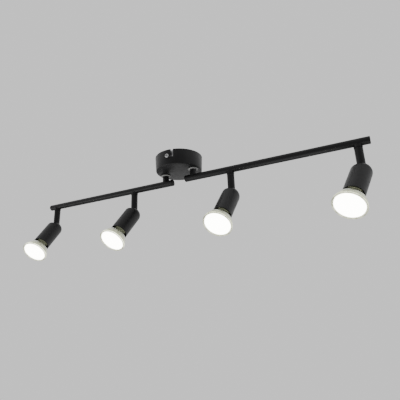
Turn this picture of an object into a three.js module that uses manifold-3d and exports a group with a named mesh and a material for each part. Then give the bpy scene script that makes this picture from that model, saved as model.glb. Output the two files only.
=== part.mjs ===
// A ceiling spotlight bar with four lamps: a round canopy, two bars that swivel under it,
// and on each bar two arms that turn, each with a tilting head for a twist-lock reflector lamp.
//
// Millimetres, +Z up. The origin is the middle of the bracket's top face, on the ceiling.
// +X runs along the right-hand bar. At rest every lamp leans towards -Y.

import * as THREE from "three";
import { mergeVertices } from "three/addons/utils/BufferGeometryUtils.js";
import Module from "manifold-3d";

const wasm = await Module();
wasm.setup();

// ---------------------------------------------------------------- driving dimensions

const GAP = 0.3; // between pieces that touch

// The canopy is a pressed cup with a slight taper, open towards the ceiling.
const CANOPY = { topR: 46.5, faceR: 45, height: 30, wall: 1.4, edge: 2.5, sides: 48 };
const SCREW_Z = -12.4; // the side screws, below the ceiling
const BAYONET = { width: 4.6, shiftX: 9.6 }; // each slot runs from its screw to a leg that opens at the rim
const BRACKET = { width: 26, reach: 41.2, thickness: 1.5, drop: 19 };
const TERMINAL = { width: 17, length: 28, height: 14, top: -4 };

// The two swivels lie on a line turned a little from the bars.
const PIVOT = { x: 32.2, y: 3.1, stemR: 6.35, boreR: 3, nippleR: 4.75, holeR: 5.25, nippleTop: -20 };
const PIVOT_WASHER = { r: 9.6, thickness: 1.5 };
const PIVOT_NUT = { acrossFlats: 17, height: 5 };

// The bars are capped tubes.
const BAR = { r: 6.35, boreR: 5.2, z: -47.5, innerEnd: 15.5, outerEnd: 343, capDisc: 1.2, plugR: 5, plug: 7 };
const ARM_X = { inner: 108, outer: 324 };

// Each arm hangs from a saddle collar and ends in a rounded lug, the knuckle of the tilt hinge.
const ARM = { r: 6.6, boreR: 5.6, drop: 46, collar: 3, lugTop: 7.5, spigotR: 5.3, spigot: 12 };
const COLLAR = { r: 6.9, nippleR: 3.3, boreR: 2, holeR: 3.7, nippleTop: 3.4 };
const PIN = { r: 1.6, holeR: 1.9, reach: 10.8 };

// Each head is a turned shell; distances run forward from the hinge.
const HEAD = { r: 16.5, boreR: 15, back: -3.2, shoulder: 12.5, bulkhead: 11, mouth: 63.5, slot: 7, wireR: 3 };
const HOLDER = { back: 24, face: 38.5, r: 13, flangeR: 14.6, flange: 3 };
const CONTACT = { pitchR: 5, shaftR: 1.6, footR: 2.5, foot: 3, length: 7, slotR: 3, slotDepth: 8.5, turn: 25 };
const LAMP = { baseR: 12.3, baseLength: 12, face: 88.5, rimR: 25, glassWall: 1.4, lensR: 22.3, lens: 2.2 };

// How the heads stand at rest.
const TILT = 40; // degrees from straight down
const HEAD_TURN = [5, -9, -8, -26]; // degrees about each arm, from left to right

// ---------------------------------------------------------------- materials

function finish(color, roughness, metalness) {
  return new THREE.MeshStandardMaterial({ color, roughness, metalness });
}
const black = finish(0x1b1b1c, 0.45, 0.3);
const zinc = finish(0xb8babb, 0.35, 0.9);
const nylon = finish(0x8a8c8b, 0.5, 0);
const white = finish(0xe9e6de, 0.6, 0);
const brass = finish(0xb08d4a, 0.35, 0.9);
const glass = finish(0xdfe6dc, 0.05, 0);
const lens = finish(0xfffdf2, 0.3, 0);
const sleeve = finish(0xd8d2c4, 0.7, 0);
const earth = finish(0x6f9a2f, 0.6, 0);

// ---------------------------------------------------------------- shapes

const rad = THREE.MathUtils.degToRad;

// A manifold-3d solid from a closed three.js geometry.
function toSolid(geometry) {
  const bare = geometry.index ? geometry.toNonIndexed() : geometry.clone();
  bare.deleteAttribute("normal");
  bare.deleteAttribute("uv");
  const merged = mergeVertices(bare, 1e-4);
  return new wasm.Manifold(
    new wasm.Mesh({
      numProp: 3,
      vertProperties: merged.attributes.position.array,
      triVerts: new Uint32Array(merged.index.array),
    }),
  );
}

function toGeometry(solid) {
  const mesh = solid.getMesh();
  const geometry = new THREE.BufferGeometry();
  geometry.setAttribute("position", new THREE.BufferAttribute(mesh.vertProperties, 3));
  geometry.setIndex(new THREE.BufferAttribute(mesh.triVerts, 1));
  geometry.computeVertexNormals();
  return geometry;
}

function cut(body, ...tools) {
  return toGeometry(tools.reduce((left, tool) => left.subtract(toSolid(tool)), toSolid(body)));
}

function join(body, ...others) {
  return toGeometry(others.reduce((whole, other) => whole.add(toSolid(other)), toSolid(body)));
}

// Revolves [radius, z] points about Z. The outline runs with the material on its left.
function turned(outline, sides) {
  const points = outline.map(([r, z]) => new THREE.Vector2(r, z));
  return new THREE.LatheGeometry(points, sides).rotateX(Math.PI / 2);
}

// A tube or ring about Z.
function ring(innerR, outerR, low, high, sides) {
  const outline = [[innerR, low], [outerR, low], [outerR, high], [innerR, high], [innerR, low]];
  return turned(outline, sides);
}

// A solid cylinder about Z, from low to high.
function rod(r, low, high, sides) {
  const geometry = new THREE.CylinderGeometry(r, r, high - low, sides);
  return geometry.rotateX(Math.PI / 2).translate(0, 0, (low + high) / 2);
}

function box(low, high) {
  const size = high.map((h, i) => h - low[i]);
  const middle = high.map((h, i) => (h + low[i]) / 2);
  return new THREE.BoxGeometry(...size).translate(...middle);
}

function hexagon(acrossFlats, low, high) {
  return rod(acrossFlats / 2 / Math.cos(Math.PI / 6), low, high, 6);
}

const alongX = (geometry) => geometry.rotateY(Math.PI / 2);
const alongY = (geometry) => geometry.rotateX(Math.PI / 2);

// A quarter circle of [radius, z] points about a centre, from one angle to another in degrees.
function arc(centreR, centreZ, r, from, to, steps) {
  return Array.from({ length: steps + 1 }, (_, i) => {
    const a = rad(from + ((to - from) * i) / steps);
    return [centreR + r * Math.cos(a), centreZ + r * Math.sin(a)];
  });
}

// A round lead that follows a smooth line through the points.
function lead(points, r) {
  const line = new THREE.CatmullRomCurve3(points.map((p) => new THREE.Vector3(...p)));
  const section = new THREE.Shape().absarc(0, 0, r, 0, 2 * Math.PI);
  return new THREE.ExtrudeGeometry(section, { extrudePath: line, steps: 10, curveSegments: 4 });
}

// ---------------------------------------------------------------- the object

const object = new THREE.Group();

function add(group, name, geometry, material) {
  const mesh = new THREE.Mesh(geometry, material);
  mesh.name = name;
  group.add(mesh);
  return mesh;
}

function groupAt(parent, x, y, z) {
  const group = new THREE.Group();
  group.position.set(x, y, z);
  parent.add(group);
  return group;
}

// ---------------------------------------------------------------- canopy

// The pressed cup, with its two swivel holes and two bayonet slots.
function canopyCup() {
  const { topR, faceR, height, wall, edge, sides } = CANOPY;
  const floor = -height;
  const outline = [
    [0, floor],
    ...arc(faceR - edge, floor + edge, edge, -90, 0, 4),
    [topR, 0],
    [topR - wall, 0],
    ...arc(faceR - edge, floor + edge, edge - wall, 0, -90, 3),
    [0, floor + wall],
  ];
  const holes = [-1, 1].map((side) =>
    rod(PIVOT.holeR, floor - 1, floor + 5, 24).translate(side * PIVOT.x, -side * PIVOT.y, 0),
  );
  const half = BAYONET.width / 2;
  const slots = [-1, 1].flatMap((side) => {
    const shift = -side * BAYONET.shiftX;
    const near = side * (faceR - 5);
    const far = side * (topR + 5);
    const [y0, y1] = [Math.min(near, far), Math.max(near, far)];
    return [
      box([Math.min(0, shift) - half, y0, SCREW_Z - half], [Math.max(0, shift) + half, y1, SCREW_Z + half]),
      box([shift - half, y0, SCREW_Z - half], [shift + half, y1, 1]),
    ];
  });
  return cut(turned(outline, sides), ...holes, ...slots);
}

// A strap across the ceiling with two screw slots and two turned-down tabs.
function mountingBracket() {
  const { width, reach, thickness, drop } = BRACKET;
  const half = width / 2;
  const strap = box([-half, -reach, -thickness], [half, reach, 0]);
  const tabs = [-1, 1].map((side) => {
    const [y0, y1] = [side * reach, side * (reach - thickness)].sort((a, b) => a - b);
    return box([-half, y0, -drop], [half, y1, -thickness / 2]);
  });
  const screwSlots = [-1, 1].map((side) => box([-2.5, side * 29 - 7, -3], [2.5, side * 29 + 7, 1]));
  const tapped = alongY(rod(2.3, -reach - 2, reach + 2, 12)).translate(0, 0, SCREW_Z);
  return cut(join(strap, ...tabs), ...screwSlots, tapped);
}

// A pan-head screw along Y: its head outside the cup, its shank through the bracket's tab.
function sideScrew(side) {
  const seat = 46.2;
  const outline = [
    [0, seat - 8],
    [1.9, seat - 8],
    [1.9, seat],
    [4, seat],
    [4, seat + 1.2],
    [3.1, seat + 2.3],
    [0, seat + 2.6],
  ];
  const screw = cut(turned(outline, 16), box([-2.6, -0.5, seat + 1.3], [2.6, 0.5, seat + 4]));
  return screw.rotateX((-side * Math.PI) / 2).translate(0, 0, SCREW_Z);
}

// Three poles in a row along Y, each with a hole for its lead from either side.
function terminalBlock() {
  const { width, length, height, top } = TERMINAL;
  const pole = length / 3;
  const body = box([-width / 2, -length / 2, top - height], [width / 2, length / 2, top]);
  const grooves = [-0.5, 0.5].map((k) =>
    box([-width, k * pole - 0.6, top - 4], [width, k * pole + 0.6, top + 1]),
  );
  const ways = [-1, 0, 1].map((k) =>
    alongX(rod(2.4, -width, width, 10)).translate(0, k * pole, top - height + 4.5),
  );
  return cut(body, ...grooves, ...ways);
}

function addCanopy() {
  add(object, "mounting_bracket", mountingBracket(), zinc);
  add(object, "canopy_cup", canopyCup(), black);
  add(object, "canopy_screw_front", sideScrew(-1), zinc);
  add(object, "canopy_screw_back", sideScrew(1), zinc);
  add(object, "terminal_block", terminalBlock(), white);

  const earthX = 9;
  const earthY = 17.5;
  const earthTop = -BRACKET.thickness - GAP;
  add(object, "earth_screw", rod(3.2, earthTop - 3, earthTop, 12).translate(earthX, earthY, 0), brass);

  const [mouthX, mouthZ] = [TERMINAL.width / 2 + GAP, TERMINAL.top - TERMINAL.height + 4.5];
  const above = PIVOT.nippleTop + GAP + 0.5;
  for (const side of [-1, 1]) {
    const route = [
      [side * mouthX, 0, mouthZ],
      [side * 17, -side * 0.5, mouthZ + 2.5],
      [side * 26, -side * 2.2, mouthZ + 2.5],
      [side * PIVOT.x, -side * PIVOT.y, above],
    ];
    add(object, `${side < 0 ? "left" : "right"}_canopy_lead`, lead(route, 1.9), sleeve);
  }
  const earthPole = TERMINAL.length / 3;
  const earthRoute = [
    [mouthX, earthPole, mouthZ],
    [14, earthPole + 2, mouthZ + 2],
    [13.5, earthY - 1, -8.5],
    [earthX, earthY, earthTop - 4],
  ];
  add(object, "earth_lead", lead(earthRoute, 1.2), earth);
}

// ---------------------------------------------------------------- bars

// The turned stem on a bar: a saddle foot, a short post, and a hollow threaded nipple up into the cup.
function pivotStem() {
  const shoulder = -CANOPY.height - GAP - PIVOT_WASHER.thickness - GAP;
  const { stemR, boreR, nippleR, nippleTop } = PIVOT;
  const outline = [
    [boreR, BAR.z],
    [stemR, BAR.z],
    [stemR, shoulder - 0.6],
    [stemR - 0.6, shoulder],
    [nippleR, shoulder],
    [nippleR, nippleTop],
    [boreR, nippleTop],
    [boreR, BAR.z],
  ];
  const barSpace = alongX(rod(BAR.r + GAP, -20, 20, 32)).translate(0, 0, BAR.z);
  return cut(turned(outline, 24), barSpace);
}

// A bar's tube, with a hole on top for its stem and two below for its arms. It runs along +X.
function barTube() {
  const { r, boreR, innerEnd, outerEnd, capDisc } = BAR;
  const tube = alongX(ring(boreR, r, innerEnd + capDisc + GAP, outerEnd - capDisc - GAP, 24));
  const stemHole = rod(PIVOT.boreR, 0, 2 * r, 12).translate(PIVOT.x, 0, 0);
  const armHoles = [ARM_X.inner, ARM_X.outer].map((x) => rod(COLLAR.holeR, -2 * r, 0, 12).translate(x, 0, 0));
  return cut(tube, stemHole, ...armHoles);
}

// An end cap whose disc closes the tube and whose plug grips its bore. Its disc faces +X.
function endCap() {
  const { r, plugR, capDisc, plug } = BAR;
  const outline = [
    [0, -plug],
    [plugR - 0.5, -plug],
    [plugR - 0.1, -plug + 1],
    [plugR - 0.1, -capDisc],
    [r, -capDisc],
    [r, -0.5],
    [r - 0.5, 0],
    [0, 0],
  ];
  return alongX(turned(outline, 24));
}

// The saddle collar under a bar, with the nipple that holds the arm's swivel. z is from the bar's axis.
function armSwivel() {
  const bottom = -BAR.r - ARM.collar;
  const { r, nippleR, boreR, nippleTop } = COLLAR;
  const flange = turned(
    [[boreR, bottom], [r, bottom], [r, -1], [boreR, -1], [boreR, bottom]],
    24,
  );
  const saddle = cut(flange, alongX(rod(BAR.r + GAP, -20, 20, 32)));
  const nipple = ring(boreR, nippleR, bottom, -nippleTop, 12);
  return join(saddle, nipple);
}

function addBar(side, name) {
  const y = -side * PIVOT.y;
  const bar = groupAt(object, 0, y, BAR.z);
  bar.rotation.z = side > 0 ? 0 : Math.PI;
  add(bar, `${name}_bar_tube`, barTube(), black);
  add(bar, `${name}_bar_outer_cap`, endCap().translate(BAR.outerEnd, 0, 0), black);
  add(bar, `${name}_bar_inner_cap`, endCap().rotateZ(Math.PI).translate(BAR.innerEnd, 0, 0), black);
  add(bar, `${name}_bar_wiring`, alongX(rod(1.9, PIVOT.x - 4, ARM_X.outer + 6, 8)).translate(0, 0, 1.6), sleeve);

  const pivot = groupAt(object, side * PIVOT.x, y, 0);
  add(pivot, `${name}_pivot_stem`, pivotStem(), black);
  const washerTop = -CANOPY.height - GAP;
  const washer = ring(PIVOT.holeR, PIVOT_WASHER.r, washerTop - PIVOT_WASHER.thickness, washerTop, 24);
  add(pivot, `${name}_pivot_washer`, washer, nylon);
  const nutLow = -CANOPY.height + CANOPY.wall + GAP;
  const nutHole = rod(PIVOT.nippleR + GAP, nutLow - 1, nutLow + 9, 16);
  const nut = cut(hexagon(PIVOT_NUT.acrossFlats, nutLow, nutLow + PIVOT_NUT.height), nutHole);
  add(pivot, `${name}_pivot_nut`, nut, zinc);
}

// ---------------------------------------------------------------- arms and heads

// The arm's tube, from under its collar to its lug. z is from the hinge.
function armTube() {
  const top = ARM.drop - BAR.r - ARM.collar - GAP;
  return ring(ARM.boreR, ARM.r, ARM.lugTop + GAP, top, 24);
}

// The knuckle: a spigot up into the tube, and a rounded end about the hinge pin.
function hingeLug() {
  const { r, lugTop, spigotR, spigot } = ARM;
  const outline = [
    ...arc(0, 0, r, -90, 0, 5),
    [r, lugTop],
    [spigotR, lugTop],
    [spigotR, lugTop + spigot],
    [2.5, lugTop + spigot],
    [2.5, 6],
    [0, 6],
  ];
  return cut(turned(outline, 20), alongX(rod(PIN.holeR, -10, 10, 12)));
}

// The head's shell along -Z: a rounded back with the arm's slot, a bulkhead and an open mouth.
function headShell() {
  const { r, boreR, back, shoulder, bulkhead, mouth, slot, wireR } = HEAD;
  const outline = [
    [0, -bulkhead],
    [boreR, -bulkhead],
    [boreR, -mouth + 0.6],
    [boreR + 0.5, -mouth],
    [r - 0.4, -mouth],
    [r, -mouth + 0.4],
    ...arc(r - shoulder, -back - shoulder, shoulder, 0, 90, 6),
    [0, -back],
  ];
  // In the plane of the swing the slot is a block with its inner corner rounded about the hinge.
  const section = new THREE.Shape();
  section.moveTo(-slot, 30);
  section.lineTo(-slot, 0);
  section.absarc(0, 0, slot, Math.PI, 1.5 * Math.PI, false);
  section.lineTo(30, -slot);
  section.lineTo(30, 30);
  const swing = new THREE.ExtrudeGeometry(section, { depth: 2 * slot, bevelEnabled: false, curveSegments: 5 });
  // The section's x is -Y here and its y is Z, and it is as deep as it is wide, centred on X = 0.
  swing.translate(0, 0, -slot).rotateX(Math.PI / 2).rotateZ(-Math.PI / 2);
  const pinHole = alongX(rod(PIN.holeR, -20, 20, 12));
  const wireHole = rod(wireR, -bulkhead - 2, 0, 12);
  return cut(turned(outline, 32), swing, pinHole, wireHole);
}

function hingePin() {
  const { r, reach } = PIN;
  return alongX(rod(r, -reach, reach, 12));
}

// A curved slot for one contact, from the locked place to the unlocked one.
function contactSlot(side) {
  const { pitchR, slotR, slotDepth, turn } = CONTACT;
  const shape = new THREE.Shape();
  const outer = pitchR + slotR;
  const inner = pitchR - slotR;
  const from = -rad(turn) - slotR / pitchR;
  const to = slotR / pitchR;
  shape.absarc(0, 0, outer, from, to, false);
  shape.absarc(0, 0, inner, to, from, true);
  const depth = { depth: slotDepth, bevelEnabled: false, curveSegments: 6 };
  return new THREE.ExtrudeGeometry(shape, depth).rotateZ(side > 0 ? 0 : Math.PI);
}

// The ceramic lampholder, with a flange that seats in the shell and two contact slots.
function lampHolder() {
  const { back, face, r, flangeR, flange } = HOLDER;
  const outline = [
    [0, -face],
    [r, -face],
    [r, -back - flange],
    [flangeR, -back - flange],
    [flangeR, -back],
    [0, -back],
  ];
  const slots = [-1, 1].map((side) => contactSlot(side).translate(0, 0, -face - 0.5));
  return cut(turned(outline, 24), ...slots);
}

// The lamp's ceramic base with its two footed contacts.
function lampBase() {
  const back = HOLDER.face + GAP;
  const { baseR, baseLength } = LAMP;
  const body = turned(
    [[0, -back - baseLength], [baseR, -back - baseLength], [baseR, -back - 2], [baseR - 1.5, -back], [0, -back]],
    20,
  );
  const { pitchR, shaftR, footR, foot, length } = CONTACT;
  const contacts = [-1, 1].flatMap((side) => [
    rod(shaftR, -back - 1, -back + length - 1, 8).translate(side * pitchR, 0, 0),
    rod(footR, -back + length - foot, -back + length, 10).translate(side * pitchR, 0, 0),
  ]);
  return join(body, ...contacts);
}

// The lamp's clear reflector cup: a collar inside the head, then a flare to the rim.
function lampGlass() {
  const back = HOLDER.face + GAP + LAMP.baseLength + GAP;
  const { face, rimR, glassWall } = LAMP;
  const outside = [
    [12.4, back],
    [12.9, 63.5],
    [15.4, 67.5],
    [19.4, 72.5],
    [22.6, 78],
    [24.4, 83.6],
    [rimR, 85.9],
    [rimR, face],
  ];
  const inside = [
    [rimR - 1.8, face],
    ...outside.slice(0, -2).reverse().map(([r, along]) => [r - glassWall, along]),
  ];
  const outline = [...inside, ...outside, inside[0]].map(([r, along]) => [r, -along]);
  return turned(outline.reverse(), 28);
}

function lampLens() {
  const { face, lensR, lens: thickness } = LAMP;
  return rod(lensR, -face + 0.8, -face + 0.8 + thickness, 28);
}

function addArm(number, x, y, turn) {
  const swivel = groupAt(object, x, y, BAR.z);
  add(swivel, `arm_swivel_${number}`, armSwivel(), black);

  const arm = groupAt(object, x, y, BAR.z - ARM.drop);
  arm.rotation.z = rad(turn);
  add(arm, `arm_tube_${number}`, armTube(), black);
  add(arm, `hinge_lug_${number}`, hingeLug(), black);

  const head = groupAt(arm, 0, 0, 0);
  head.rotation.x = -rad(TILT);
  add(head, `hinge_pin_${number}`, hingePin(), black);
  add(head, `head_shell_${number}`, headShell(), black);
  add(head, `lampholder_${number}`, lampHolder(), white);
  add(head, `lamp_base_${number}`, lampBase(), white);
  add(head, `lamp_glass_${number}`, lampGlass(), glass);
  add(head, `lamp_lens_${number}`, lampLens(), lens);
}

addCanopy();
addBar(-1, "left");
addBar(1, "right");
[-ARM_X.outer, -ARM_X.inner, ARM_X.inner, ARM_X.outer].forEach((x, i) =>
  addArm(i + 1, x, -Math.sign(x) * PIVOT.y, HEAD_TURN[i]),
);

export default object;
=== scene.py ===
"""The looks of a ceiling spotlight bar: a round canopy, two swivelling bars, four arms and four lamp heads.

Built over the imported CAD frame, in the row frame: +Z up, the ceiling at z = 0, +X along the right bar.
Shapes are drawn in millimetres and scaled to metres as they are made.
"""

import math

import bmesh
import bpy
from mathutils import Matrix, Vector

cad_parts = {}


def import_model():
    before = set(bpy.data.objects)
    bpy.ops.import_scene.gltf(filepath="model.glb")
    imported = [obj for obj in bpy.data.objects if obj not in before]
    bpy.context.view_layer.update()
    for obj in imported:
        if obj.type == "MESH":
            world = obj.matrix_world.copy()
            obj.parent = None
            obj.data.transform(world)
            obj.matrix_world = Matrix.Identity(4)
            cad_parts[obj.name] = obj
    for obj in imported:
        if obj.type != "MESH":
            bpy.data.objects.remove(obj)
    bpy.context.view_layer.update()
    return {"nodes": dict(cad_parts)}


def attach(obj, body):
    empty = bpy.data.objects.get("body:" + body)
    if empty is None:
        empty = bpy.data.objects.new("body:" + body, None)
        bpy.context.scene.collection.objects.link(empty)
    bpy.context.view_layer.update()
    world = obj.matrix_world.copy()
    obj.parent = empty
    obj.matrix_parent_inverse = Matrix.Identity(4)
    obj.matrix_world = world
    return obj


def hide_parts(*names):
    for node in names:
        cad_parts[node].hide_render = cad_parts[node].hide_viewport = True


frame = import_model()

MM = 0.001
SIDES = 96
TUBE_SIDES = 64
CUTTER_SIDES = 32
SCREW_SIDES = 48
THROUGH = 20  # a cutter that reaches this far either way passes right through a piece
SHARP = 32  # an edge that turns by more degrees than this stays sharp
SHARP_CAD = 35  # the same, on the CAD's coarser facets

# ---------------------------------------------------------------- sizes, in millimetres, as in the CAD

CUP_FACE = -30
CUP_EDGE = 2.5
CUP_CORNER_R = 42.5  # where the lower edge's rounding is centred
CUP_TOP_R = 46.4
CUP_WALL = 1.4
SCREW_Z = -12.4
SCREW_SEAT = 46.25  # the underside of a side screw's head, out from the axis
SLOT_WIDTH = 4.6
SLOT_SHIFT = 9.6
PIVOT_X = 32.2
PIVOT_Y = 3.1
STEM_BORE = 3
STEM_SHOULDER = -32.15
NIPPLE_R = 4.75
NIPPLE_TOP = -20
WASHER_TOP = -30.3
WASHER_BOTTOM = -31.8
WASHER_R = 9.6
WASHER_BORE = 5.25
BAR_R = 6.35
BAR_BORE = 5.2
BAR_Z = -47.5
BAR_INNER = 15.5
BAR_OUTER = 343
CAP_DISC = 1.25
CAP_GAP = 0.15
CAP_PLUG = 7
CAP_PLUG_R = 4.9
COLLAR_R = 6.9
COLLAR_BORE = 2
COLLAR_TOP = -3.9
COLLAR_BOTTOM = -9.35
ARM_R = 6.6
ARM_BORE = 5.6
ARM_TOP = 36.35
HINGE_DROP = 46
LUG_TOP = 7.5
SPIGOT_R = 5.3
SPIGOT = 12
PIN_R = 1.6
PIN_HOLE = 1.9
PIN_REACH = 10.8
HEAD_R = 16.5
HEAD_BORE = 15
HEAD_BACK = 3.2
SHOULDER = 12.5
BULKHEAD = 11
SWING_R = 7
WIRE_R = 3
MOUTH = 63.5
FLARE = [(12.9, 63.5), (15.4, 67.5), (19.4, 72.5), (22.6, 78), (24.4, 83.6)]  # radius, distance forward
RIM_R = 25
RIM_BACK = 85.9
FACE = 88.5
GLASS_BACK = 51.1
GLASS_WALL = 1.4
COAT_DEPTH = 2.3
FLUTES = 24
FLUTE_DEPTH = 0.2
COAT_NECK_R = 9.2
LENS_R = 21.9
LENS_BACK = 85.7
LENS_EDGE = 87.5
LENS_BULGE = 1.2
TILT = 40
ARMS = [(-324, 5), (-108, -9), (108, -8), (324, -26)]  # place along the bars, turn in degrees


# ---------------------------------------------------------------- shapes


def arc(centre_r, centre_z, radius, start, end, steps):
    """Points on a circle arc in the turning plane, angles in degrees."""
    angles = [math.radians(start + (end - start) * i / steps) for i in range(steps + 1)]
    return [(centre_r + radius * math.cos(a), centre_z + radius * math.sin(a)) for a in angles]


def shade(bm, sharp):
    """Smooth shading, except at edges that turn by more than the angle in degrees."""
    for face in bm.faces:
        face.smooth = True
    for edge in bm.edges:
        edge.smooth = len(edge.link_faces) == 2 and edge.calc_face_angle(0) < math.radians(sharp)


def reshade(mesh, sharp):
    """The same, on a mesh that is already made."""
    bm = bmesh.new()
    bm.from_mesh(mesh)
    shade(bm, sharp)
    bm.to_mesh(mesh)
    bm.free()


def finished(name, bm, material):
    """A mesh object from a bmesh in millimetres."""
    bmesh.ops.recalc_face_normals(bm, faces=bm.faces)
    bmesh.ops.scale(bm, vec=(MM, MM, MM), verts=bm.verts)
    shade(bm, SHARP)
    mesh = bpy.data.meshes.new(name)
    bm.to_mesh(mesh)
    bm.free()
    obj = bpy.data.objects.new(name, mesh)
    bpy.context.scene.collection.objects.link(obj)
    mesh.materials.append(material)
    return obj


def turned_bmesh(outline, sides, closed, flute):
    """A bmesh of (radius, z) points turned about Z. flute(angle, radius) gives a new radius."""
    bm = bmesh.new()
    rings = []
    for r, z in outline:
        if r < 1e-6:
            rings.append([bm.verts.new((0, 0, z))])
            continue
        ring = []
        for k in range(sides):
            a = 2 * math.pi * k / sides
            out = flute(a, r) if flute else r
            ring.append(bm.verts.new((out * math.cos(a), out * math.sin(a), z)))
        rings.append(ring)
    pairs = list(zip(rings, rings[1:]))
    if closed:
        pairs.append((rings[-1], rings[0]))
    for low, high in pairs:
        for k in range(sides):
            n = (k + 1) % sides
            if len(low) == 1:
                bm.faces.new((low[0], high[n], high[k]))
            elif len(high) == 1:
                bm.faces.new((low[k], low[n], high[0]))
            else:
                bm.faces.new((low[k], low[n], high[n], high[k]))
    return bm


def turned(name, outline, material, sides=SIDES, closed=False, flute=None):
    """A piece turned about Z. A closed outline joins up with its own start, round a bore."""
    return finished(name, turned_bmesh(outline, sides, closed, flute), material)


def sleeve(bore, radius, low, high, low_edge, high_edge=None):
    """The outline of a tube, ring or pin. An edge is (how far in, how far along) its corner is cut."""
    low_in, low_along = low_edge
    high_in, high_along = high_edge or low_edge
    return [
        (bore, low),
        (radius - low_in, low),
        (radius, low + low_along),
        (radius, high - high_along),
        (radius - high_in, high),
        (bore, high),
    ]


def slab(low, high):
    """A box bmesh between two corners."""
    bm = bmesh.new()
    bmesh.ops.create_cube(bm, size=1)
    size = [h - l for l, h in zip(low, high)]
    middle = [(h + l) / 2 for l, h in zip(low, high)]
    bmesh.ops.scale(bm, vec=size, verts=bm.verts)
    bmesh.ops.translate(bm, vec=middle, verts=bm.verts)
    return bm


def carved(obj, *cutters):
    """obj with the cutters taken out of it. The cutters are deleted."""
    for cutter in cutters:
        modifier = obj.modifiers.new("cut", "BOOLEAN")
        modifier.operation = "DIFFERENCE"
        modifier.solver = "EXACT"
        modifier.object = cutter
    bpy.context.view_layer.update()
    evaluated = obj.evaluated_get(bpy.context.evaluated_depsgraph_get())
    mesh = bpy.data.meshes.new_from_object(evaluated)
    obj.modifiers.clear()
    obj.data = mesh
    for cutter in cutters:
        bpy.data.objects.remove(cutter)
    reshade(mesh, SHARP)
    return obj


def drill(radius, low, high, along=None):
    """A round cutter up Z, or turned to another direction."""
    outline = [(0, low), (radius, low), (radius, high), (0, high)]
    cutter = turned("cut", outline, BLACK, sides=CUTTER_SIDES)
    if along:
        cutter.matrix_world = along
    return cutter


def place(obj, matrix):
    """Puts obj at a matrix given in millimetres."""
    obj.matrix_world = Matrix.Translation(matrix.translation * MM) @ matrix.to_3x3().to_4x4()
    return obj


ALONG_X = Matrix.Rotation(math.pi / 2, 4, "Y")


# ---------------------------------------------------------------- materials


class Look:
    """A procedural material: one Principled shader whose values are set or driven by textures."""

    def __init__(self, name, **values):
        self.material = bpy.data.materials.new(name)
        self.material.use_nodes = True
        self.tree = self.material.node_tree
        self.shader = self.tree.nodes["Principled BSDF"]
        for key, value in values.items():
            self.shader.inputs[key.replace("_", " ")].default_value = value

    def feed(self, socket, value):
        """Sets an input to a value, or links another node's output to it."""
        if isinstance(value, bpy.types.NodeSocket):
            self.tree.links.new(value, socket)
        else:
            socket.default_value = value

    def node(self, kind, settings=None, **inputs):
        """A new shader node with its options set, and its inputs fed by name."""
        made = self.tree.nodes.new("ShaderNode" + kind)
        for key, value in (settings or {}).items():
            setattr(made, key, value)
        for key, value in inputs.items():
            self.feed(made.inputs[key.replace("_", " ")], value)
        return made

    def coordinates(self):
        """Each point's place on its own piece, in metres."""
        return self.node("TexCoord").outputs["Object"]

    def noise(self, scale, detail=3):
        """Soft noise over the piece. A larger scale is finer."""
        found = self.node("TexNoise", Vector=self.coordinates(), Scale=scale, Detail=detail)
        return found.outputs["Fac"]

    def between(self, factor, low, high):
        """The factor's 0.3 to 0.7 spread over two values or two colours."""
        if isinstance(low, tuple):
            ramp = self.node("ValToRGB", Fac=factor)
            for element, colour, at in zip(ramp.color_ramp.elements, (low, high), (0.3, 0.7)):
                element.color = (*colour, 1)
                element.position = at
            return ramp.outputs["Color"]
        spread = self.node("MapRange", Value=factor, From_Min=0.3, From_Max=0.7, To_Min=low, To_Max=high)
        return spread.outputs["Result"]

    def math(self, operation, *terms):
        """One operation on numbers or other nodes' outputs."""
        made = self.node("Math", {"operation": operation})
        for socket, term in zip(made.inputs, terms):
            self.feed(socket, term)
        return made.outputs["Value"]

    def forward(self, start, end, low, high):
        """A value that goes from low to high between two distances forward along a lamp."""
        along = self.node("SeparateXYZ", Vector=self.coordinates()).outputs["Z"]
        ends = {"From_Min": -start * MM, "From_Max": -end * MM, "To_Min": low, "To_Max": high}
        spread = self.node("MapRange", {"interpolation_type": "SMOOTHSTEP"}, Value=along, **ends)
        return spread.outputs["Result"]

    def drive(self, socket, source):
        """Links another node's output to one of the shader's inputs."""
        self.tree.links.new(source, self.shader.inputs[socket])

    def bump(self, height, strength, distance):
        """Relief that follows a height, its distance in millimetres."""
        made = self.node("Bump", Height=height, Strength=strength, Distance=distance * MM)
        self.drive("Normal", made.outputs["Normal"])


def coated(name, dark, light, rough, grain=1400, relief=0.06, specular=0.35):
    """A powder-coated or moulded surface with a fine grain."""
    look = Look(name, Specular_IOR_Level=specular)
    look.drive("Base Color", look.between(look.noise(90, 4), dark, light))
    look.drive("Roughness", look.between(look.noise(160, 3), *rough))
    look.bump(look.noise(grain, 2), relief, 0.05)
    return look.material


def plated(name, dark, light, rough, relief=0.05):
    """A metal surface with faint mottling."""
    look = Look(name, Metallic=1.0)
    look.drive("Base Color", look.between(look.noise(240, 4), dark, light))
    look.drive("Roughness", look.between(look.noise(500, 3), *rough))
    look.bump(look.noise(900, 2), relief, 0.03)
    return look.material


def sleeving():
    """Woven heat-resistant sleeving, with a crossed braid."""
    look = Look("sleeving", Specular_IOR_Level=0.2)
    weave = look.node("TexWave", Vector=look.coordinates(), Scale=420, Distortion=1.5, Detail=1)
    look.drive("Base Color", look.between(weave.outputs["Fac"], (0.52, 0.48, 0.38), (0.76, 0.72, 0.62)))
    look.drive("Roughness", look.between(look.noise(600), 0.65, 0.8))
    look.bump(weave.outputs["Fac"], 0.3, 0.15)
    return look.material


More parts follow.
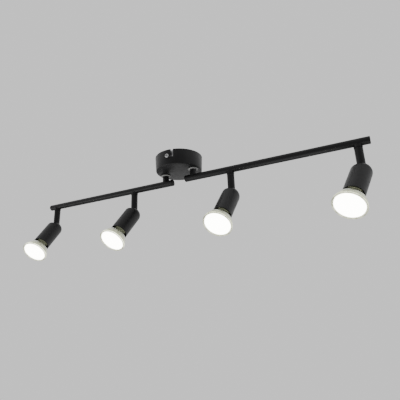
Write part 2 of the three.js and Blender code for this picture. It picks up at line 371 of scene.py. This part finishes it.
def earth_insulation():
    """Green insulation with yellow stripes."""
    look = Look("earth_insulation")
    bands = look.node("TexWave", Vector=look.coordinates(), Scale=60, Distortion=0.4, Detail=1)
    look.drive("Base Color", look.between(bands.outputs["Fac"], (0.07, 0.24, 0.03), (0.72, 0.6, 0.04)))
    look.drive("Roughness", look.between(look.noise(300), 0.4, 0.55))
    return look.material


def lamp_glass():
    """Clear pressed glass, a little green and wavy, with a painted glow along its flare and at its rim for
    the light of the lamp inside.
    """
    look = Look("lamp_glass", IOR=1.45, Transmission_Weight=1.0)
    # Painted glow: emission on the glass itself, mottled in colour, faint along the flare and brightest at
    # the rim.
    look.drive("Emission Color", look.between(look.noise(190, 4), (0.2, 0.22, 0.12), (1.0, 1.0, 0.74)))
    painted_flare_glow = look.forward(74, 85, 0.0, 0.25)
    look.drive("Emission Strength", look.forward(85.5, 87.5, painted_flare_glow, 0.8))
    look.drive("Base Color", look.between(look.noise(60, 2), (0.86, 0.9, 0.8), (0.96, 0.98, 0.89)))
    look.drive("Roughness", look.between(look.noise(120, 2), 0.02, 0.08))
    look.bump(look.noise(220, 2), 0.12, 0.3)
    return look.material


def reflector_coat():
    """The coat inside the glass: part mirror and olive, with a soft painted glow in rings of small facets
    that stands in for the lamp's light glinting off them.
    """
    look = Look("reflector_coat", Metallic=0.3, Transmission_Weight=0.15)
    look.drive("Base Color", look.between(look.noise(260, 4), (0.12, 0.125, 0.09), (0.4, 0.41, 0.33)))
    here = look.coordinates()
    rings = look.node("TexWave", {"bands_direction": "Z"}, Vector=here, Scale=90, Distortion=1.5, Detail=2)
    turn = look.node("TexGradient", {"gradient_type": "RADIAL"}, Vector=here).outputs["Fac"]
    flutes = look.math("SINE", look.math("MULTIPLY", turn, FLUTES * math.tau))
    painted_facet_highlights = look.math("MULTIPLY_ADD", flutes, 0.2, rings.outputs["Fac"])
    # Painted highlights: the facets' rings and flutes set the colour of an emitted glow, standing in for
    # light glinting off the facets.
    look.drive("Emission Color", look.between(painted_facet_highlights, (0.2, 0.21, 0.13), (1.0, 1.0, 0.78)))
    look.drive("Emission Strength", look.forward(66, 86, 0.2, 0.22))
    look.drive("Roughness", look.between(look.noise(130, 2), 0.12, 0.3))
    return look.material


def lit_lens():
    """The frosted front lens with the lamp on: white, with fine moulded bubbles."""
    look = Look("lit_lens", Roughness=0.35)
    look.drive("Emission Strength", look.forward(86, 87.3, 1.5, 14))
    cells = look.node("TexVoronoi", Vector=look.coordinates(), Scale=420)
    look.drive("Base Color", look.between(cells.outputs["Distance"], (0.93, 0.92, 0.86), (0.8, 0.8, 0.76)))
    look.drive("Emission Color", look.between(look.noise(40, 2), (1.0, 0.97, 0.88), (1.0, 1.0, 0.96)))
    look.bump(cells.outputs["Distance"], 0.3, 0.25)
    return look.material


BLACK = coated(
    "black_powder_coat", (0.005, 0.005, 0.0055), (0.009, 0.009, 0.01), (0.37, 0.45), specular=0.42
)
BLACK_CAP = coated("black_moulded", (0.006, 0.006, 0.006), (0.01, 0.01, 0.01), (0.5, 0.6), grain=900)
NYLON = coated("grey_nylon", (0.36, 0.36, 0.35), (0.46, 0.46, 0.45), (0.45, 0.55), specular=0.4)
TERMINAL = coated("terminal_plastic", (0.68, 0.66, 0.6), (0.78, 0.76, 0.7), (0.45, 0.55))
CERAMIC = coated("ceramic", (0.66, 0.64, 0.58), (0.76, 0.74, 0.68), (0.5, 0.65), grain=700, relief=0.15)
ZINC = plated("zinc_plate", (0.78, 0.79, 0.8), (0.9, 0.9, 0.91), (0.25, 0.4), relief=0.08)
STEEL = plated("screw_steel", (0.58, 0.58, 0.59), (0.76, 0.76, 0.76), (0.2, 0.32))
BRASS = plated("brass", (0.56, 0.4, 0.16), (0.7, 0.53, 0.24), (0.25, 0.38))
SLEEVE = sleeving()
EARTH = earth_insulation()
GLASS = lamp_glass()
REFLECTOR = reflector_coat()
LENS = lit_lens()


def fit(obj, body, *nodes):
    """The piece rides a body and stands for the CAD nodes named, which it hides."""
    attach(obj, body)
    if nodes:
        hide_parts(*nodes)


# ---------------------------------------------------------------- the CAD nodes that are shown as they are

SHOWN_AS_MADE = {
    "mounting_bracket": ZINC,
    "terminal_block": TERMINAL,
    "earth_screw": BRASS,
    "earth_lead": EARTH,
    "left_canopy_lead": SLEEVE,
    "right_canopy_lead": SLEEVE,
    "left_bar_wiring": SLEEVE,
    "right_bar_wiring": SLEEVE,
    "left_pivot_nut": ZINC,
    "right_pivot_nut": ZINC,
    **{f"lampholder_{i}": CERAMIC for i in range(1, 5)},
    **{f"lamp_base_{i}": CERAMIC for i in range(1, 5)},
}


def dress(name, material):
    """Gives a CAD node its material and smooth shading between its faces, except at real edges."""
    mesh = frame["nodes"][name].data
    mesh.materials.clear()
    mesh.materials.append(material)
    reshade(mesh, SHARP_CAD)


for node_name, node_material in SHOWN_AS_MADE.items():
    dress(node_name, node_material)


# ---------------------------------------------------------------- canopy


def canopy_cup():
    """The pressed cup: a slight taper, a soft lower edge, and two L-shaped bayonet slots."""
    corner_z = CUP_FACE + CUP_EDGE
    outline = [
        (0, CUP_FACE),
        *arc(CUP_CORNER_R, corner_z, CUP_EDGE, -90, 0, 8),
        (CUP_TOP_R, -0.4),
        (CUP_TOP_R - 0.2, 0),
        (CUP_TOP_R - 1.1, 0),
        (CUP_TOP_R - 1.3, -0.4),
        *arc(CUP_CORNER_R, corner_z, CUP_EDGE - CUP_WALL, 0, -90, 6),
        (0, CUP_FACE + CUP_WALL),
    ]
    cup = turned("canopy_cup_shell", outline, BLACK, sides=128)
    half = SLOT_WIDTH / 2
    low, high, above = SCREW_Z - half, SCREW_Z + half, 2
    apart = 0.01  # keeps the two cutters' faces from lying in one plane
    cutters = []
    for side in (-1, 1):
        shift = -side * SLOT_SHIFT
        near, far = sorted((side * (CUP_TOP_R - 6), side * (CUP_TOP_R + 6)))
        low_x, high_x = sorted((0, shift))
        level = slab((low_x - half, near, low), (high_x + half, far, high))
        upright = slab((shift - half, near, low + apart), (shift + half, far, above))
        cutters += [finished("cut", level, BLACK), finished("cut", upright, BLACK)]
    fit(carved(cup, *cutters), "canopy", "canopy_cup")


def side_screw(side, name, node):
    """A pan-head screw with a cross recess, its head against the cup."""
    shank_r, head_r, edge_r = 1.9, 4, 1.8
    tip = SCREW_SEAT - 7.95
    outline = [
        (0, tip),
        (shank_r - 0.3, tip),
        (shank_r, tip + 0.6),
        (shank_r, SCREW_SEAT),
        (head_r - 0.1, SCREW_SEAT),
        (head_r, SCREW_SEAT + 0.15),
        *arc(head_r - edge_r, SCREW_SEAT + 0.65, edge_r, 0, 80, 6),
        (0, SCREW_SEAT + 2.53),
    ]
    screw = turned(name, outline, STEEL, sides=SCREW_SIDES)
    wing, half = 2.4, 0.6
    bottom, above = SCREW_SEAT + 0.35, SCREW_SEAT + 3.25
    centre = [(0, bottom - 1), (1.2, bottom - 0.4), (1.7, above), (0, above)]
    cross = [
        finished("cut", slab((-wing, -half, bottom), (wing, half, above)), STEEL),
        finished("cut", slab((-half, -wing, bottom), (half, wing, above)), STEEL),
        turned("cut", centre, STEEL, sides=SCREW_SIDES // 2),
    ]
    carved(screw, *cross)
    turn = Matrix.Rotation(-side * math.pi / 2, 4, "X")
    place(screw, Matrix.Translation((0, 0, SCREW_Z)) @ turn)
    fit(screw, "canopy", node)


canopy_cup()
side_screw(-1, "side_screw_front", "canopy_screw_front")
side_screw(1, "side_screw_back", "canopy_screw_back")


# ---------------------------------------------------------------- bars


def bar_tube(name, along):
    """The tube between the two caps, up to a hairline gap at each."""
    back = CAP_DISC + CAP_GAP
    outline = sleeve(BAR_BORE, BAR_R, BAR_INNER + back, BAR_OUTER - back, (0.15, 0.15))
    tube = turned(f"{name}_tube", outline, BLACK, sides=TUBE_SIDES, closed=True)
    fit(place(tube, along), f"{name}_bar", f"{name}_bar_tube")


def bar_cap(name, end, outward, face, along):
    """An end cap: a plug in the bore, and a disc with a softened edge over the tube's end."""
    depths = [
        (0, CAP_PLUG),
        (CAP_PLUG_R - 0.5, CAP_PLUG),
        (CAP_PLUG_R, CAP_PLUG - 1),
        (CAP_PLUG_R, CAP_DISC),
        (BAR_R - 0.1, CAP_DISC),
        (BAR_R, CAP_DISC - 0.15),
        (BAR_R, 0.6),
        (BAR_R - 0.18, 0.2),
        (BAR_R - 0.6, 0.02),
        (0, 0),
    ]
    outline = [(r, face - outward * depth) for r, depth in depths]
    cap = turned(f"{name}_{end}_cap", outline, BLACK_CAP, sides=TUBE_SIDES)
    fit(place(cap, along), f"{name}_bar", f"{name}_bar_{end}_cap")


def pivot(name, here):
    """The hollow stem that carries a bar, and the washer it turns on."""
    stem_outline = [
        (STEM_BORE, BAR_Z + 1.5),
        (BAR_R, BAR_Z + 1.5),
        (BAR_R, STEM_SHOULDER - 0.55),
        (BAR_R - 0.6, STEM_SHOULDER),
        (NIPPLE_R, STEM_SHOULDER),
        (NIPPLE_R, NIPPLE_TOP - 0.5),
        (NIPPLE_R - 0.45, NIPPLE_TOP),
        (STEM_BORE, NIPPLE_TOP),
    ]
    stem = turned(f"{name}_stem", stem_outline, BLACK, sides=TUBE_SIDES, closed=True)
    fit(place(stem, here), f"{name}_bar", f"{name}_pivot_stem")

    washer_outline = sleeve(WASHER_BORE, WASHER_R, WASHER_BOTTOM, WASHER_TOP, (0.3, 0.25))
    washer = turned(f"{name}_washer", washer_outline, NYLON, sides=TUBE_SIDES, closed=True)
    fit(place(washer, here), f"{name}_bar", f"{name}_pivot_washer")


def bar(side, name):
    """One bar with its caps and pivot. side is -1 on the left and 1 on the right."""
    y = -side * PIVOT_Y
    facing = Matrix.Identity(4) if side > 0 else Matrix.Rotation(math.pi, 4, "Z")
    along = Matrix.Translation((0, y, BAR_Z)) @ facing @ ALONG_X
    bar_tube(name, along)
    bar_cap(name, "outer", 1, BAR_OUTER, along)
    bar_cap(name, "inner", -1, BAR_INNER, along)
    pivot(name, Matrix.Translation((side * PIVOT_X, y, 0)))


bar(-1, "left")
bar(1, "right")


# ---------------------------------------------------------------- arms and heads


def arm_swivel(number, x, y, body):
    """The collar under the bar that the arm turns against."""
    outline = sleeve(COLLAR_BORE, COLLAR_R, COLLAR_BOTTOM, COLLAR_TOP, (0.3, 0.25), (0.3, 0.3))
    collar = turned(f"swivel_collar_{number}", outline, BLACK, sides=TUBE_SIDES, closed=True)
    place(collar, Matrix.Translation((x, y, BAR_Z)))
    fit(collar, body, f"arm_swivel_{number}")


def arm(number, here):
    """The arm's tube and the rounded lug that carries the hinge pin."""
    tube_outline = sleeve(ARM_BORE, ARM_R, LUG_TOP + 0.2, ARM_TOP, (0.15, 0.15), (0.3, 0.3))
    tube = turned(f"arm_{number}_tube", tube_outline, BLACK, sides=TUBE_SIDES, closed=True)
    fit(place(tube, here), f"arm_{number}", f"arm_tube_{number}")

    lug_outline = [
        *arc(0, 0, ARM_R, -90, 0, 14),
        (ARM_R, LUG_TOP - 0.15),
        (ARM_R - 0.15, LUG_TOP),
        (SPIGOT_R, LUG_TOP),
        (SPIGOT_R, LUG_TOP + SPIGOT),
        (0, LUG_TOP + SPIGOT),
    ]
    lug = turned(f"arm_{number}_lug", lug_outline, BLACK, sides=TUBE_SIDES)
    carved(lug, drill(PIN_HOLE, -THROUGH, THROUGH, ALONG_X))
    fit(place(lug, here), f"arm_{number}", f"hinge_lug_{number}")


def swing_slot():
    """The space the arm swings in, from straight behind the head to square across it."""
    bm = bmesh.new()
    beyond = 30
    round_end = arc(0, 0, SWING_R, 180, 270, 10)
    section = [(-SWING_R, beyond), *round_end, (beyond, -SWING_R), (beyond, beyond)]
    near = [bm.verts.new((-SWING_R, -s, z)) for s, z in section]
    far = [bm.verts.new((SWING_R, -s, z)) for s, z in section]
    bm.faces.new(near)
    bm.faces.new(far[::-1])
    count = len(section)
    for k in range(count):
        n = (k + 1) % count
        bm.faces.new((near[k], far[k], far[n], near[n]))
    return finished("cut", bm, BLACK)


def head(number, here):
    """The turned shell with its hinge slot, and the hinge pin across it."""
    body = f"head_{number}"
    outline = [
        (0, -BULKHEAD),
        (HEAD_BORE, -BULKHEAD),
        (HEAD_BORE, -MOUTH + 0.6),
        (HEAD_BORE + 0.5, -MOUTH),
        (HEAD_R - 0.4, -MOUTH),
        (HEAD_R, -MOUTH + 0.4),
        *arc(HEAD_R - SHOULDER, HEAD_BACK - SHOULDER, SHOULDER, 0, 90, 18),
        (0, HEAD_BACK),
    ]
    shell = turned(f"head_{number}_shell", outline, BLACK)
    pin_hole = drill(PIN_HOLE, -THROUGH, THROUGH, ALONG_X)
    wire_hole = drill(WIRE_R, -BULKHEAD - 3, 0)
    carved(shell, swing_slot(), pin_hole, wire_hole)
    fit(place(shell, here), body, f"head_shell_{number}")

    pin_outline = sleeve(0, PIN_R, -PIN_REACH, PIN_REACH, (0.4, 0.4))
    pin = turned(f"head_{number}_pin", pin_outline, BLACK, sides=32)
    fit(place(pin, here @ ALONG_X), body, f"hinge_pin_{number}")


def smooth_line(points, steps=4):
    """A finer line on a smooth curve through the points."""
    ends = [Vector(point) for point in (points[0], *points, points[-1])]
    line = []
    for before, start, end, after in zip(ends, ends[1:], ends[2:], ends[3:]):
        bend = 2 * before - 5 * start + 4 * end - after
        twist = 3 * start - 3 * end + after - before
        for t in [step / steps for step in range(steps)]:
            line.append(start + ((end - before) * t + bend * t**2 + twist * t**3) / 2)
    return [*line, ends[-1]]


def inset(line, depth):
    """The line moved in from a lamp's outside by a depth, square to itself."""
    moved = []
    for i, point in enumerate(line):
        ahead = line[min(i + 1, len(line) - 1)] - line[max(i - 1, 0)]
        moved.append(point + Vector((-ahead.y, ahead.x)).normalized() * depth)
    return moved


def fluted(angle, radius):
    """Shallow flutes round the reflector, fading out towards its neck."""
    fade_start, fade_end = 9, 15
    fade = min(1, (radius - fade_start) / (fade_end - fade_start))
    return radius + FLUTE_DEPTH * math.sin(angle * FLUTES) * fade


def lamp(number, here):
    """The glass, the coat inside it and the lens. Their outlines are (radius, distance forward)."""
    body = f"lamp_{number}"
    flare = smooth_line(FLARE)
    neck_r, neck = FLARE[0]
    back_r = neck_r - 0.5
    rim = [(RIM_R, RIM_BACK), (RIM_R, FACE - 0.5), (RIM_R - 0.4, FACE)]
    outside = [(back_r, GLASS_BACK), *flare, *rim]
    seat_r = LENS_R + 0.4
    seat = [(seat_r + 0.2, FACE), (seat_r, FACE - 0.3), (seat_r, LENS_BACK + 0.7)]
    ledge = (seat_r + 0.9, LENS_BACK - 0.1)
    inside = [*seat, ledge, *reversed(inset(flare, GLASS_WALL)), (back_r - GLASS_WALL, GLASS_BACK)]
    glass_outline = [(r, -along) for r, along in outside + inside]
    glass = turned(f"lamp_{number}_glass", glass_outline, GLASS, closed=True)
    fit(place(glass, here), body, f"lamp_glass_{number}")

    coat_neck = [(COAT_NECK_R, GLASS_BACK + 3), (COAT_NECK_R + 1.4, neck - 5)]
    coat = [*coat_neck, *inset(flare, COAT_DEPTH)]
    coat_outline = [(r, -along) for r, along in coat]
    cup = turned(f"lamp_{number}_reflector", coat_outline, REFLECTOR, sides=2 * SIDES, flute=fluted)
    fit(place(cup, here), body)

    quarter_turn = [math.pi / 2 * k / 10 for k in range(11)]
    dome = [(LENS_R * math.sin(a), -LENS_EDGE - LENS_BULGE * math.cos(a)) for a in quarter_turn]
    lens = turned(f"lamp_{number}_lens", [*dome, (LENS_R, -LENS_BACK), (0, -LENS_BACK)], LENS)
    fit(place(lens, here), body, f"lamp_lens_{number}")


def spot(number, x, turn):
    """One arm with its collar, head and lamp. The hinge between arm and head is their origin."""
    y = math.copysign(PIVOT_Y, -x)
    arm_swivel(number, x, y, "left_bar" if x < 0 else "right_bar")
    turned_arm = Matrix.Rotation(math.radians(turn), 4, "Z")
    hinge = Matrix.Translation((x, y, BAR_Z - HINGE_DROP)) @ turned_arm
    tilted = hinge @ Matrix.Rotation(-math.radians(TILT), 4, "X")
    arm(number, hinge)
    head(number, tilted)
    lamp(number, tilted)


for spot_number, (spot_x, spot_turn) in enumerate(ARMS, 1):
    spot(spot_number, spot_x, spot_turn)


# ---------------------------------------------------------------- studio

# Places and sizes in metres.
FLOOR_REACH = 5
FLOOR_Z = -2.4
CAMERA_AT = (0.3193, -0.5854, -0.2987)
CAMERA_TURN = (-25.256, 17.527, -2.185)  # yaw, pitch and roll in degrees
CAMERA_LENS = 32.7  # focal length in millimetres
FIXTURE_MIDDLE = (0, 0, -0.08)
BRIGHT_WAY = (-0.4, 0.85, 0.3)  # the backdrop is brightest this way
DIM, BRIGHT = 0.3, 0.86


def world():
    """A plain backdrop, pale ahead of the camera and darker behind it."""
    made = bpy.data.worlds.new("studio")
    made.use_nodes = True
    tree = made.node_tree
    background = tree.nodes["Background"]
    background.inputs["Strength"].default_value = 1.0
    coordinates = tree.nodes.new("ShaderNodeTexCoord")
    facing = tree.nodes.new("ShaderNodeVectorMath")
    facing.operation = "DOT_PRODUCT"
    facing.inputs[1].default_value = BRIGHT_WAY
    ramp = tree.nodes.new("ShaderNodeValToRGB")
    for element, grey, at in zip(ramp.color_ramp.elements, (DIM, BRIGHT), (0.1, 0.8)):
        element.color = (grey, grey, grey, 1)
        element.position = at
    spread = tree.nodes.new("ShaderNodeMapRange")
    spread.inputs["From Min"].default_value = -1
    tree.links.new(coordinates.outputs["Generated"], facing.inputs[0])
    tree.links.new(facing.outputs["Value"], spread.inputs["Value"])
    tree.links.new(spread.outputs["Result"], ramp.inputs["Fac"])
    tree.links.new(ramp.outputs["Color"], background.inputs["Color"])
    bpy.context.scene.world = made


def area_light(name, location, size, power):
    """A round soft light that faces the fixture, its power in watts."""
    data = bpy.data.lights.new(name, "AREA")
    data.shape = "DISK"
    data.size = size
    data.energy = power
    light = bpy.data.objects.new(name, data)
    bpy.context.scene.collection.objects.link(light)
    light.location = location
    light.rotation_mode = "QUATERNION"
    light.rotation_quaternion = (Vector(FIXTURE_MIDDLE) - Vector(location)).to_track_quat("-Z", "Y")
    return light


def floor():
    """A pale floor well below, whose far edge stays under the main view."""
    bm = bmesh.new()
    bmesh.ops.create_grid(bm, x_segments=1, y_segments=1, size=FLOOR_REACH / MM)
    look = Look("pale_floor", Specular_IOR_Level=0.2)
    look.drive("Base Color", look.between(look.noise(2, 2), (0.6, 0.6, 0.6), (0.64, 0.64, 0.64)))
    look.drive("Roughness", look.between(look.noise(3, 2), 0.8, 0.9))
    made = finished("floor", bm, look.material)
    made.location = (0, 0, FLOOR_Z)
    return made


def camera():
    """Below and to the right of the fixture, looking up at it."""
    yaw, pitch, roll = (math.radians(a) for a in CAMERA_TURN)
    level = Vector((math.sin(yaw), math.cos(yaw), 0))
    forward = level * math.cos(pitch) + Vector((0, 0, math.sin(pitch)))
    right = Vector((math.cos(yaw), -math.sin(yaw), 0))
    up = right.cross(forward)
    across = right * math.cos(roll) + up * math.sin(roll)
    upward = up * math.cos(roll) - right * math.sin(roll)
    data = bpy.data.cameras.new("camera")
    data.sensor_width = 36
    data.lens = CAMERA_LENS
    data.clip_start = 0.01
    made = bpy.data.objects.new("camera", data)
    bpy.context.scene.collection.objects.link(made)
    turn = Matrix((across, upward, -forward)).transposed()
    made.matrix_world = Matrix.Translation(CAMERA_AT) @ turn.to_4x4()
    bpy.context.scene.camera = made
    return made


world()
floor()
camera()
area_light("key", (-1.1, -1.0, -0.9), 1.2, 5)
area_light("fill", (1.4, -0.6, 0.6), 1.2, 0.6)
area_light("under", (0.1, -0.4, -1.6), 1.4, 6)
